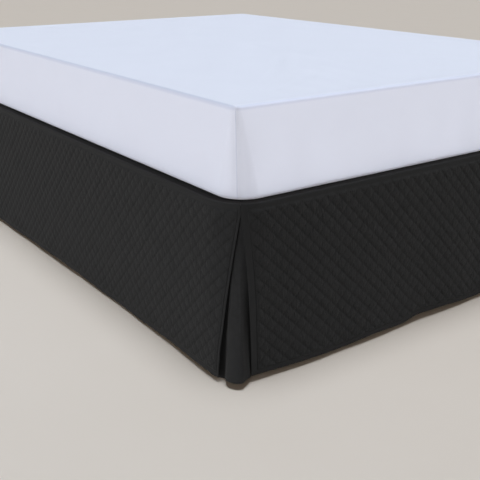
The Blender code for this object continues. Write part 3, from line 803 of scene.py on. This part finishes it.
mattress_piece = mattress()
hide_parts("mattress")

# %% The box base
BASE_CORNER = CORNER - SKIRT_OUT
BASE_EDGE = 0.008
BASE_FULLNESS = 0.0012      # how far the base's cover stands out half way up
PIPING, PIPING_HEIGHT = 0.0016, 0.014   # radius and height of the cord sewn in round the base's lower edge


def box_base():
    """The upholstered base: rings up its side, a little full between its two lines of staples."""
    low, low_inset = edge_rings(BASE_EDGE / 2, 0, pi / 2, 4)
    high, high_inset = edge_rings(BASE_EDGE, 0, pi / 2, 6)
    side = np.linspace(BASE_EDGE / 2, BASE_HEIGHT - BASE_EDGE, 62)[1:-1]
    height = np.concatenate(((0.0, 0.0), low, side, (BASE_HEIGHT - high)[::-1], (BASE_HEIGHT, BASE_HEIGHT)))
    inset = np.concatenate(((0.4, 0.03), low_inset, 0 * side, high_inset[::-1], (0.03, 0.4)))
    height, inset = height[:, None], inset[:, None]
    corner = np.maximum(BASE_CORNER - inset, 0.001)
    half_x, half_y = BASE_WIDTH / 2, BASE_LENGTH / 2
    fullness = BASE_FULLNESS * np.sin(pi * np.clip((height - 0.02) / (BASE_HEIGHT - 0.035), 0, 1)) ** 0.7
    piping = PIPING * np.sqrt(np.clip(1 - ((height - PIPING_HEIGHT) / PIPING) ** 2, 0, 1))
    inset = inset - (fullness + piping) * (inset < BASE_EDGE)
    x, y = rounded_rings(
        half_x - inset, BED_SHIFT - half_y + inset, BED_SHIFT + half_y - inset, corner, corner, 60, 44, 20,
    )
    return stack("bed_base_and_cover", x, y, FOOT_HEIGHT + height)


base_piece = box_base()
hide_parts("bed_base")

# %% The deck cloth
DECK_ROOM = 0.001           # between the deck cloth's edge and the panels' lips


def deck_cloth():
    """The flat cloth that carries the panels, rounded at the foot and square at the head."""
    inset = LIP + DECK_ROOM
    z = DECK_BOTTOM + PLAIN * np.array((0.0, 0.0, 0.25, 0.75, 1.0, 1.0))[:, None]
    back = np.array((0.05, 0.0004, 0.0, 0.0, 0.0004, 0.05))[:, None] + inset
    half_x, foot = HALF_WIDTH - back, BED_SHIFT - HALF_LENGTH + back
    head = BED_SHIFT + BASE_LENGTH / 2 - back + inset
    corner = np.maximum(CORNER - back, 0.001)
    x, y = rounded_rings(half_x, foot, head, corner, 0 * corner + 0.001, 60, 44, 12)
    piece = stack("deck_cloth_sheet", x, y, z)
    return piece


deck_piece = deck_cloth()
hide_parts("deck_cloth")

# %% The feet
FOOT_PROFILE = (            # height and radius up a foot: glide, waist, collar under the base
    (0.0, 0.020), (0.0, 0.0255), (0.0012, 0.0268), (0.003, 0.0272), (0.0045, 0.0268), (0.0052, 0.0262),
    (0.0060, 0.0285), (0.008, 0.0296), (0.012, 0.0300), (0.030, 0.0297), (0.070, 0.0288), (0.110, 0.0284),
    (0.1180, 0.0284), (0.1195, 0.0292), (0.1205, 0.0300), (0.1290, 0.0300), (0.1297, 0.0294), (0.1297, 0.015),
)


def bed_foot(number, place_x, place_y):
    """A turned foot: its profile carried round a circle of 40 points."""
    height, radius = (np.array(part)[:, None] for part in zip(*FOOT_PROFILE))
    angle = np.linspace(0, 2 * pi, 41)[None, :-1]
    name = f"bed_foot_{number}"
    x, y = place_x + radius * np.cos(angle), place_y + radius * np.sin(angle)
    piece = stack(name + "_turned", x, y, height, radians(40))
    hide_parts(name)
    return piece


bed_feet = []
for number in range(1, 7):
    low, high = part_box(f"bed_foot_{number}")
    bed_feet.append(bed_foot(number, (low[0] + high[0]) / 2, (low[1] + high[1]) / 2))

# %% [markdown]
# ## Writing materials as sums
#
# A material is a graph of nodes, and linking dozens of Math nodes by hand hides what they work out. So one
# small class stands for a socket: adding or multiplying two of them adds the Math node and its links. Nearly
# every other node comes from one method, which sets the node's settings before it fills its sockets.

# %% Sockets and finishes
class Socket:
    """A node's output, on which sums can be written as on a number."""

    def __init__(self, finish, output):
        self.finish, self.output = finish, output

    def math(self, operation, *others):
        """A Math node whose first value is this one."""
        return self.finish.node("ShaderNodeMath", {"operation": operation}, dict(enumerate((self, *others))))

    def __add__(self, other):
        return self.math("ADD", other)

    def __sub__(self, other):
        return self.math("SUBTRACT", other)

    def __rsub__(self, other):
        return self.finish.node("ShaderNodeMath", {"operation": "SUBTRACT"}, {0: other, 1: self})

    def __mul__(self, other):
        return self.math("MULTIPLY", other)

    def __truediv__(self, other):
        return self.math("DIVIDE", other)

    __radd__, __rmul__ = __add__, __mul__

    def to_line(self):
        """Distance to the nearest whole number: 0 on a line, 0.5 half way between two."""
        return (self - self.math("ROUND")).math("ABSOLUTE")

    def between(self, start, end):
        """0 before start and 1 after end, smooth between. start may be the larger, and then it falls."""
        low, high = (0.0, 1.0) if end > start else (1.0, 0.0)
        sockets = {0: self, 1: min(start, end), 2: max(start, end), 3: low, 4: high}
        return self.finish.node("ShaderNodeMapRange", {"interpolation_type": "SMOOTHSTEP"}, sockets)


class Finish:
    """A material under construction."""

    def __init__(self, name, roughness, sheen=0.0, sheen_roughness=0.5, specular=0.5):
        self.material = bpy.data.materials.new(name)
        self.material.use_nodes = True
        self.tree = self.material.node_tree
        self.shader = self.tree.nodes["Principled BSDF"]
        self.shader.inputs["Roughness"].default_value = roughness
        self.shader.inputs["Sheen Weight"].default_value = sheen
        self.shader.inputs["Sheen Roughness"].default_value = sheen_roughness
        self.shader.inputs["Specular IOR Level"].default_value = specular

    def node(self, kind, settings=None, sockets=None, result=0):
        """A new node's output. Settings come first, because they change which sockets a node has."""
        made = self.tree.nodes.new(kind)
        for name, value in (settings or {}).items():
            setattr(made, name, value)
        for name, value in (sockets or {}).items():
            if isinstance(value, Socket):
                self.tree.links.new(value.output, made.inputs[name])
            else:
                made.inputs[name].default_value = value
        return Socket(self, made.outputs[result])

    def place(self):
        """Object coordinates, in metres."""
        return self.node("ShaderNodeTexCoord", result="Object")

    def map(self, name):
        """The two numbers of a piece's own map."""
        return self.parts(self.node("ShaderNodeUVMap", {"uv_map": name}), "XY")

    def parts(self, vector, letters="XYZ"):
        """The numbers of a vector."""
        return [self.node("ShaderNodeSeparateXYZ", None, {0: vector}, letter) for letter in letters]

    def noise(self, where, size, detail=3.0, rough=0.55):
        """Cloudy noise with lumps of about this size, around one half."""
        sockets = {"Vector": where, "Scale": 1 / size, "Detail": detail, "Roughness": rough}
        return self.node("ShaderNodeTexNoise", None, sockets)

    def flat(self, u, v):
        """A place on the flat cloth as a vector."""
        return self.node("ShaderNodeCombineXYZ", None, {"X": u, "Y": v})

    def mix(self, factor, first, second):
        """A colour between two colours."""
        first, second = ((*c, 1.0) if isinstance(c, tuple) else c for c in (first, second))
        return self.node("ShaderNodeMix", {"data_type": "RGBA"}, {0: factor, 6: first, 7: second}, 2)

    def bump(self, height, strength=1.0):
        """Height in metres as a change of the surface's direction."""
        return self.node("ShaderNodeBump", None, {"Height": height, "Distance": 1.0, "Strength": strength})

    def use(self, name, socket):
        """Links a result to the shader."""
        self.tree.links.new(socket.output, self.shader.inputs[name])

    def paint_shade(self, weight, colour):
        """Mixes in a second, darker shader without sheen, by weight: painted shade for cloth deep in a fold or
        under something.
        """
        second = self.tree.nodes.new("ShaderNodeBsdfPrincipled")
        second.inputs["Base Color"].default_value = (*colour, 1.0)
        second.inputs["Roughness"].default_value = 1.0
        second.inputs["Specular IOR Level"].default_value = 0.1
        blend = self.tree.nodes.new("ShaderNodeMixShader")
        self.tree.links.new(weight.output, blend.inputs[0])
        self.tree.links.new(self.shader.outputs[0], blend.inputs[1])
        self.tree.links.new(second.outputs[0], blend.inputs[2])
        self.tree.links.new(blend.outputs[0], self.tree.nodes["Material Output"].inputs["Surface"])

    def cover(self, *pieces):
        """Gives the finished material to pieces."""
        for piece in pieces:
            piece.data.materials.clear()
            piece.data.materials.append(self.material)
        print(f"{self.material.name}: {len(self.tree.nodes)} nodes on {len(pieces)} pieces")


# %% [markdown]
# ## The quilted cloth
#
# The cloth is black microfibre: matt, with a short nap. A nap could be hairs, but from across a room it is
# only a fine mottle of lighter and darker cloth with a trace of sheen. Noise on the flat cloth gives it, in
# four sizes: slow patches, puckers that are drawn out down the cloth, lumps of wadding and the nap itself.
#
# The stitched lines come from the same two slanted counts that raised the pillows. Shade is painted into the
# grooves: the cloth is darker there, more so along the first family, which sinks in deeper, and thread runs
# along both. The weave is far finer than the rest, so it is a faint ripple in the bump. The lip under the
# mattress gets hardly any light, so shade is painted on it too.

# %% Quilted black cloth
BLACK, BLACK_CLOTH = (0.0, 0.0, 0.0), (0.0330, 0.0340, 0.0358)
LIP_SHADE, DEEP_SHADE = (0.010, 0.009, 0.009), (0.009, 0.009, 0.009)   # painted shade: colours for cloth where hardly any light comes
QUILT_TURN = LIP - ROLL + ROLL * pi / 2     # depth down the cloth at which it starts to hang
LINE_SPACE = PILLOW_HEIGHT / 2 ** 0.5       # between two stitched lines
STITCH, WEAVE = 0.003, 0.0007       # length of one stitch, and from thread to thread
FIRST_GROOVE_SHADE, SECOND_GROOVE_SHADE = (0.21, 0.0045), (0.17, 0.0040)    # how much painted shade darkens a groove, and how wide
PUCKER_STRETCH = 4.5        # puckers are this much longer down the cloth than along it

quilt = Finish("quilted_black_cloth", roughness=0.86, sheen=0.02, sheen_roughness=0.45, specular=0.2)
u, depth_down = quilt.map("cloth")
from_band, above_floor = quilt.map("edges")
across, up = quilt.map("quilting")
one, two = across + up, across - up
to_one, to_two = one.to_line() * LINE_SPACE, two.to_line() * LINE_SPACE
quilted = above_floor.between(QUILT_BOTTOM, QUILT_BOTTOM + 0.003)
quilted = quilted * above_floor.between(QUILT_TOP + 0.004, QUILT_TOP - 0.004) * from_band.between(0.0, 0.003)
# Painted shade in the stitched grooves: the cloth's colour is darker there.
groove_shade = FIRST_GROOVE_SHADE[0] * to_one.between(FIRST_GROOVE_SHADE[1], 0.0)
groove_shade = (groove_shade + SECOND_GROOVE_SHADE[0] * to_two.between(SECOND_GROOVE_SHADE[1], 0.0)) * quilted
flat_place = quilt.flat(u, depth_down)
patchy = quilt.noise(flat_place, 0.045)
nap = quilt.noise(flat_place, 0.0022, 4.0, 0.7)
pucker = quilt.noise(quilt.flat(u * PUCKER_STRETCH, depth_down), 0.020, 3.0, 0.6)
lumps = quilt.noise(flat_place, 0.008, 3.0, 0.6)
hem_line = (above_floor - QUILT_BOTTOM).math("ABSOLUTE").between(0.0012, 0.0003)
plain_line = hem_line.math("MAXIMUM", from_band.math("ABSOLUTE").between(0.0014, 0.0003))
lip = depth_down.between(QUILT_TURN, LIP - ROLL - 0.006)
shade = (0.86 + 0.28 * patchy) * (0.62 + 0.40 * nap + 0.36 * pucker)
shade = shade * (0.93 + 0.07 * quilted) * (1 - groove_shade) * (1 - 0.06 * plain_line)
quilt.use("Base Color", quilt.mix(shade / 2, BLACK, BLACK_CLOTH))
weave = (u * (2 * pi / WEAVE)).math("SINE") + (depth_down * (2 * pi / WEAVE)).math("SINE")
thread = (one * (2 * pi * LINE_SPACE / STITCH)).math("SINE") * to_two.between(0.0006, 0.0001)
thread = thread + (two * (2 * pi * LINE_SPACE / STITCH)).math("SINE") * to_one.between(0.0006, 0.0001)
height_map = 0.00002 * weave + 0.00035 * nap + (0.0042 * pucker + 0.0026 * lumps + 0.00015 * thread) * quilted
quilt.use("Normal", quilt.bump(height_map - 0.0002 * plain_line, 0.8))
# Painted shade: the lip under the mattress is mixed towards a darker colour without sheen.
quilt.paint_shade(0.92 * lip, LIP_SHADE)
quilt.cover(skirt_left, skirt_right, skirt_foot)

# %% [markdown]
# ## The plain black cloth
#
# The inserts and the deck are one thin layer of the same microfibre without wadding, so only a mottle and a
# fine nap break it up. Light hardly reaches the deck under the mattress, nor the hollows on both sides of an
# insert's rounded fold, and lamps alone would leave them too pale. So shade is painted there: a darker shader
# without sheen is mixed in, by height and by the insert's own map of how far inside the pleat a place is.

# %% Plain black cloth
plain = Finish("plain_black_cloth", roughness=0.88, sheen=0.06, sheen_roughness=0.5, specular=0.2)
where = plain.place()
mottle = plain.noise(where, 0.012, 4.0, 0.65)
fine = plain.noise(where, 0.0018, 3.0, 0.6)
shade = (0.70 + 0.6 * mottle) * (0.70 + 0.6 * fine)
plain.use("Base Color", plain.mix(shade / 2, BLACK, BLACK_CLOTH))
plain.use("Normal", plain.bump(0.0008 * mottle + 0.0004 * fine, 0.7))
beside_side, beside_foot = plain.map("pleat")
height = plain.parts(where, "Z")[0]
# Painted shade: on the deck under the mattress and in the hollows beside an insert's rounded fold.
shade_under_mattress = 0.85 * height.between(DECK_BOTTOM - 0.002, DECK_BOTTOM)
inside = (0.22 * beside_side).math("MAXIMUM", 0.62 * beside_foot)
plain.paint_shade(inside.math("MAXIMUM", shade_under_mattress), DEEP_SHADE)
plain.cover(insert_left, insert_right, deck_piece)

# %% [markdown]
# ## The mattress cover
#
# White knitted cotton, pulled tight, with the slightly blue white that washed sheets have. It is nearly even:
# slow cloudy changes and a very fine knit. The seam down each corner stands up a little in the mesh, but in
# thin cotton a seam shows mostly by its shade, so that shade is painted: down each corner and round the top
# edge the white is darker and bluer.

# %% Mattress cover
WHITES = (0.745, 0.775, 0.905), (0.775, 0.805, 0.935)
SEAM_SHADE_BLUE = (0.48, 0.53, 0.72)

cover = Finish("mattress_cover", roughness=0.85, sheen=0.05, specular=0.2)
where = cover.place()
cloudy = cover.noise(where, 0.12, 2.0)
knit = cover.noise(where, 0.0012, 2.0)
x, y, z = cover.parts(where)
to_side = BASE_WIDTH / 2 - MATTRESS_INSET - x.math("ABSOLUTE")
to_end = BASE_LENGTH / 2 - MATTRESS_INSET - (y - (BED_SHIFT - MATTRESS_SHIFT)).math("ABSOLUTE")
below_top = MATTRESS_BOTTOM + MATTRESS_HEIGHT - z
# Painted shade: the white is darker and bluer down each corner's seam and round the top edge.
corner_seam_shade = (to_side - to_end).math("ABSOLUTE").between(0.0022, 0.0008) * to_side.between(0.05, 0.03)
corner_seam_shade = corner_seam_shade * below_top.between(0.004, 0.010)
top_edge_shade = to_side.math("MINIMUM", to_end).between(0.008, 0.003) * below_top.between(0.012, 0.005)
white = cover.mix(0.65 * cloudy + 0.35 * knit, *WHITES)
white = cover.mix((0.30 * corner_seam_shade).math("MAXIMUM", 0.36 * top_edge_shade), white, SEAM_SHADE_BLUE)
cover.use("Base Color", white)
cover.use("Normal", cover.bump(0.0004 * cloudy + 0.00008 * knit, 0.6))
cover.cover(mattress_piece)

# %% [markdown]
# ## The base's cover and the feet
#
# Hardly any of this shows, but someone who looks from the head end sees it: a hard-wearing brown-grey cloth
# on the base, and moulded black feet with the faint orange-peel surface that a mould leaves.

# %% Base cover
sturdy = Finish("base_cover", roughness=0.8, sheen=0.1, specular=0.3)
where = sturdy.place()
fibres = sturdy.noise(where, 0.0016, 4.0, 0.7)
worn = sturdy.noise(where, 0.09, 3.0)
sturdy.use("Base Color", sturdy.mix(0.6 * fibres + 0.4 * worn, (0.070, 0.062, 0.055), (0.135, 0.122, 0.110)))
sturdy.use("Normal", sturdy.bump(0.0004 * fibres, 0.8))
sturdy.cover(base_piece)

# %% Foot plastic
moulded = Finish("foot_plastic", roughness=0.45, specular=0.5)
where = moulded.place()
peel = moulded.noise(where, 0.0014, 2.0)
scuffs = moulded.noise(where, 0.018, 5.0, 0.7)
moulded.use("Base Color", moulded.mix(scuffs, (0.018, 0.018, 0.018), (0.040, 0.040, 0.041)))
moulded.use("Roughness", 0.36 + 0.25 * scuffs)
moulded.use("Normal", moulded.bump(0.00008 * peel, 0.6))
moulded.cover(*bed_feet)

# %% [markdown]
# ## The studio
#
# A pale floor, a pale round backdrop far away, and soft light. Black cloth and a white mattress can't be lit
# well by the same lamps: what shows the quilting burns the mattress out. A studio would put up flags, which
# keep a lamp off one thing. Here each lamp lists the pieces that it reaches.
#
# The skirt has a low lamp on its left and a high one on its right. A raking lamp from behind shows up the side
# panels' quilting, and weak ones in front fill in the sides and the inserts. The mattress has a lamp on each
# side, a cool ceiling, and a warm bounce from below, as a pale floor gives. The floor has a narrow lamp right
# above it, so the skirt's shadow stays close to the hem, and a low warm one in front. Light is also painted
# into the floor's colour, which grows a little paler towards one side of the room.

# %% Floor
FLOOR_HALF = 20.0           # half the floor's width
FLOOR_COLOURS = (0.688, 0.655, 0.616), (0.758, 0.741, 0.715)


def studio_piece(name, points, faces):
    """An object for the studio, with nothing on its faces yet."""
    mesh = bpy.data.meshes.new(name)
    mesh.from_pydata(points, [], faces)
    piece = bpy.data.objects.new(name, mesh)
    bpy.context.collection.objects.link(piece)
    return piece


floor_corners = [(FLOOR_HALF * x, FLOOR_HALF * y, 0) for x, y in ((-1, -1), (1, -1), (1, 1), (-1, 1))]
studio_floor = studio_piece("studio_floor", floor_corners, [(0, 1, 2, 3)])
ground = Finish("pale_floor", roughness=0.9, specular=0.1)
where = ground.place()
grain = ground.noise(where, 0.25, 4.0)
# Painted light: the floor's colour grows paler towards the left.
painted_light_across_room = ground.parts(where, "X")[0].between(0.6, -1.6)
ground.use("Base Color", ground.mix(0.25 * grain + 0.75 * painted_light_across_room, *FLOOR_COLOURS))
ground.cover(studio_floor)

# %% Backdrop
BACKDROP_RADIUS, BACKDROP_HEIGHT, BACKDROP_SIDES = 19.5, 14.0, 96
BACKDROP_COLOUR = (0.58, 0.55, 0.52)


def backdrop():
    """A pale round cloth far behind everything, seen only by the camera: it gives no light and no shadow."""
    turn = np.linspace(0, 2 * pi, BACKDROP_SIDES + 1)[:-1]
    ring = np.stack((BACKDROP_RADIUS * np.cos(turn), BACKDROP_RADIUS * np.sin(turn), 0 * turn), 1)
    points = np.concatenate((ring, ring + (0, 0, BACKDROP_HEIGHT)))
    here = np.arange(BACKDROP_SIDES)
    after = (here + 1) % BACKDROP_SIDES
    faces = np.stack((after, here, here + BACKDROP_SIDES, after + BACKDROP_SIDES), 1)
    piece = studio_piece("studio_backdrop", points.tolist(), faces.tolist())
    piece.visible_diffuse = piece.visible_glossy = piece.visible_shadow = False
    pale = Finish("pale_backdrop", roughness=1.0, specular=0.0)
    pale.shader.inputs["Base Color"].default_value = (*BLACK, 1.0)
    pale.shader.inputs["Emission Color"].default_value = (*BACKDROP_COLOUR, 1.0)
    pale.shader.inputs["Emission Strength"].default_value = 1.0
    pale.cover(piece)


backdrop()

# %% Light
ROOM_COLOUR, ROOM_STRENGTH = (1.0, 0.95, 0.90), 0.03
WHITE_LIGHT, WARM_BOUNCE, COOL_CEILING = (1.0, 1.0, 1.0), (1.0, 0.93, 0.85), (0.77, 0.925, 1.0)
WARM_FRONT = (1.0, 0.80, 0.62)

world = bpy.data.worlds.new("studio")
bpy.context.scene.world = world
world.use_nodes = True
world.node_tree.nodes["Background"].inputs["Color"].default_value = (*ROOM_COLOUR, 1.0)
world.node_tree.nodes["Background"].inputs["Strength"].default_value = ROOM_STRENGTH


def soft_light(name, comes_from, strength, width, only, colour=WHITE_LIGHT, own_shadow=False):
    """Even light from one direction, as wide as a large soft box that stands far away. width is in degrees.

    only lists the pieces that it reaches, as if it were flagged off the others. With own_shadow no other
    piece casts a shadow in it: light thrown back by the floor isn't stopped by the floor.
    """
    lamp = bpy.data.lights.new(name, "SUN")
    lamp.energy, lamp.angle, lamp.color = strength, radians(width), colour
    light = bpy.data.objects.new(name, lamp)
    light.rotation_euler = Vector(comes_from).to_track_quat("Z", "Y").to_euler()
    bpy.context.collection.objects.link(light)
    group = bpy.data.collections.new(name + "_reaches")
    for piece in only:
        group.objects.link(piece)
    light.light_linking.receiver_collection = group
    if own_shadow:
        light.light_linking.blocker_collection = group


# Where the lamps stand, as directions from the bed
LOW_LEFT, HIGH_RIGHT = (-0.95, 0.05, 0.25), (0.58, -0.48, 0.76)
BEHIND, IN_FRONT = (-0.15, 0.60, 0.80), (-0.30, -0.90, 0.35)
LEFT_WINDOW, RIGHT_WINDOW = (-0.95, -0.12, 0.45), (0.89, -0.44, 0.46)
CEILING, FLOOR = (0.0, 0.0, 1.0), (-0.20, -0.20, -0.95)
CORNER_FRONT, LOW_FRONT = (-0.55, -0.78, 0.40), (-0.60, -0.75, 0.36)

sides, inserts = [skirt_left, skirt_right], [insert_left, insert_right]
black_pieces = [*sides, skirt_foot, *inserts, deck_piece, base_piece, *bed_feet]
soft_light("left_on_black", LOW_LEFT, 2.26, 60, black_pieces)
soft_light("right_on_black", HIGH_RIGHT, 2.26, 60, black_pieces)
soft_light("rake_on_sides", BEHIND, 0.95, 40, sides)
soft_light("front_on_sides", IN_FRONT, 0.50, 50, sides)
soft_light("front_on_inserts", CORNER_FRONT, 0.36, 20, inserts)
soft_light("left_on_white", LEFT_WINDOW, 1.98, 60, [mattress_piece])
soft_light("right_on_white", RIGHT_WINDOW, 3.18, 60, [mattress_piece])
soft_light("floor_on_white", FLOOR, 1.40, 80, [mattress_piece], WARM_BOUNCE, own_shadow=True)
soft_light("ceiling_on_white", CEILING, 0.80, 70, [mattress_piece], COOL_CEILING)
soft_light("ceiling_on_floor", CEILING, 2.17, 28, [studio_floor])
soft_light("front_on_floor", LOW_FRONT, 0.80, 40, [studio_floor], WARM_FRONT)
bpy.context.scene.view_settings.view_transform = "Standard"
bpy.context.scene.view_settings.look = "None"
